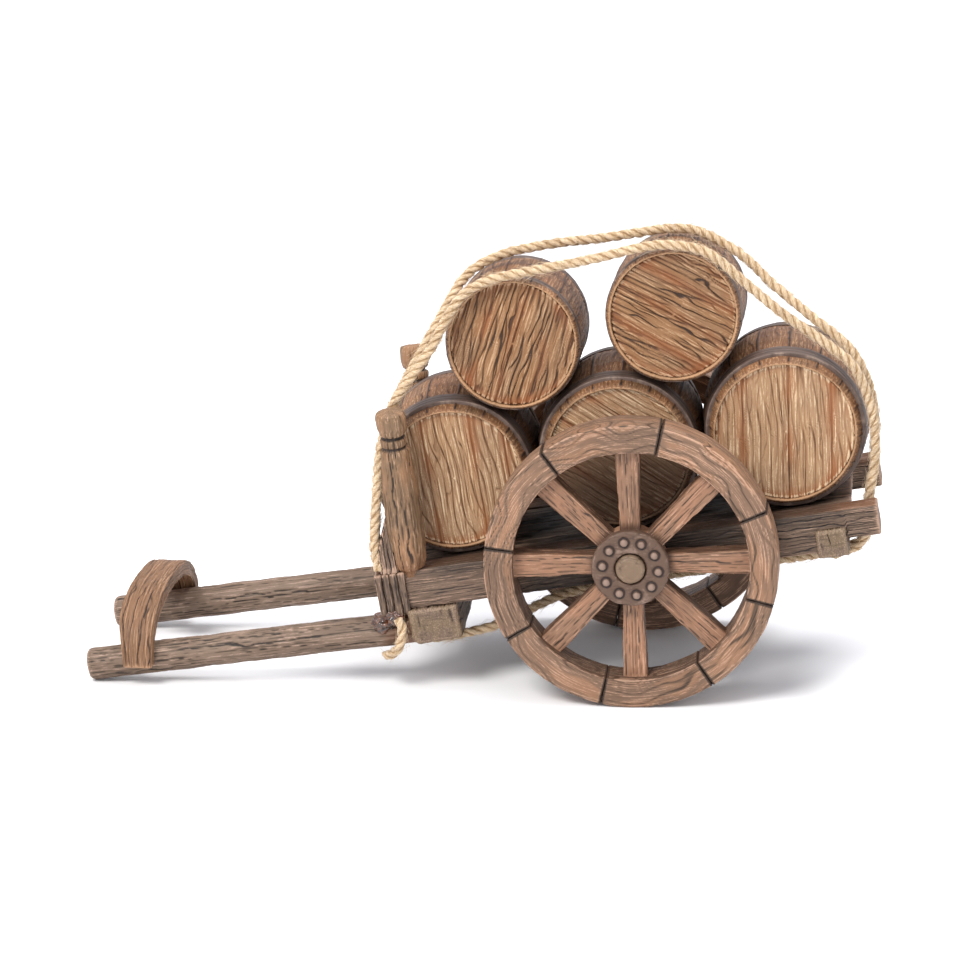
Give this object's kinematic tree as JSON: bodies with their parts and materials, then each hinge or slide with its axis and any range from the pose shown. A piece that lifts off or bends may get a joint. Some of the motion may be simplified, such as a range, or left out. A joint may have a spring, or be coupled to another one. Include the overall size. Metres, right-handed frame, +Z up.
{
  "type": "handcart with barrels",
  "caption": "Small two-wheeled wooden handcart with barrels stacked on its bed and lashed down with twine, resting on its wheels and shaft tips. Both wheels turn.",
  "frame": {"origin": "on the ground under the middle of the whole cart", "axes": "+X along the cart from the shaft tips to the tail, +Y across it to the right-hand wheel, +Z up"},
  "size_m": [0.2058, 0.076, 0.1184],
  "materials": {
    "frame": "dark stained, dry brushed along its ridges",
    "shaft": "dark stained, tan dry brushed grain",
    "stake": "dark stained, tan dry brushed grain",
    "yoke": "orange brown with dark cracks",
    "felloe": "pinkish tan with grey brown wavy grain",
    "spoke": "pinkish tan ridges over dark grooves",
    "hub": "dusty rust brown, matt",
    "stave": "brown stained staves",
    "low_head": "golden tan boards, brown stained edges",
    "top_head": "orange tan boards with carved grain",
    "hoop": "dark grey brown, low sheen",
    "twine": "light jute twine, twisted",
    "glue": "clear amber glue, glossy"
  },
  "bodies": {
    "cart": {"side_beam_left": "frame", "side_beam_right": "frame", "front_crossbar": "frame", "rear_crossbar": "frame", "crossbar_pegs": "frame", "axle_bolster": "frame", "floor_bearers": "frame", "floor_boards": "frame", "axle": "hub", "axle_cap_left": "hub", "axle_cap_right": "hub", "thrust_washer_left": "hub", "thrust_washer_right": "hub", "shaft_left": "shaft", "shaft_right": "shaft", "yoke": "yoke", "stake_left": "stake", "stake_right": "stake", "stake_cheek_left": "frame", "stake_cheek_right": "frame", "beam_binding_left": "frame", "beam_binding_right": "frame", "rope_near_strand": "twine", "rope_far_strand": "twine", "rope_under_strand": "twine", "rope_tail": "twine", "rope_front_knot": "glue", "rope_rear_knot": "twine", "front_barrel_staves": "stave", "front_barrel_near_head": "low_head", "front_barrel_far_head": "low_head", "front_barrel_hoops": "hoop", "middle_barrel_staves": "stave", "middle_barrel_near_head": "low_head", "middle_barrel_far_head": "low_head", "middle_barrel_hoops": "hoop", "rear_barrel_staves": "stave", "rear_barrel_near_head": "low_head", "rear_barrel_far_head": "low_head", "rear_barrel_hoops": "hoop", "top_front_barrel_staves": "stave", "top_front_barrel_near_head": "top_head", "top_front_barrel_far_head": "top_head", "top_front_barrel_hoops": "hoop", "top_rear_barrel_staves": "stave", "top_rear_barrel_near_head": "top_head", "top_rear_barrel_far_head": "top_head", "top_rear_barrel_hoops": "hoop"},
    "wheel_left": {"nave_left": "hub", "spokes_left": "spoke", "felloes_left": "felloe", "hub_plate_left": "hub", "hub_nails_left": "hub"},
    "wheel_right": {"nave_right": "hub", "spokes_right": "spoke", "felloes_right": "felloe", "hub_plate_right": "hub", "hub_nails_right": "hub"}
  },
  "joints": [
    {"name": "wheel_left_spin", "type": "hinge", "parent": "cart", "child": "wheel_left", "pos_m": [0.0398, -0.0309, 0.0375], "axis": [0, 1, 0], "continuous": true},
    {"name": "wheel_right_spin", "type": "hinge", "parent": "cart", "child": "wheel_right", "pos_m": [0.0398, 0.0309, 0.0375], "axis": [0, 1, 0], "continuous": true}
  ]
}
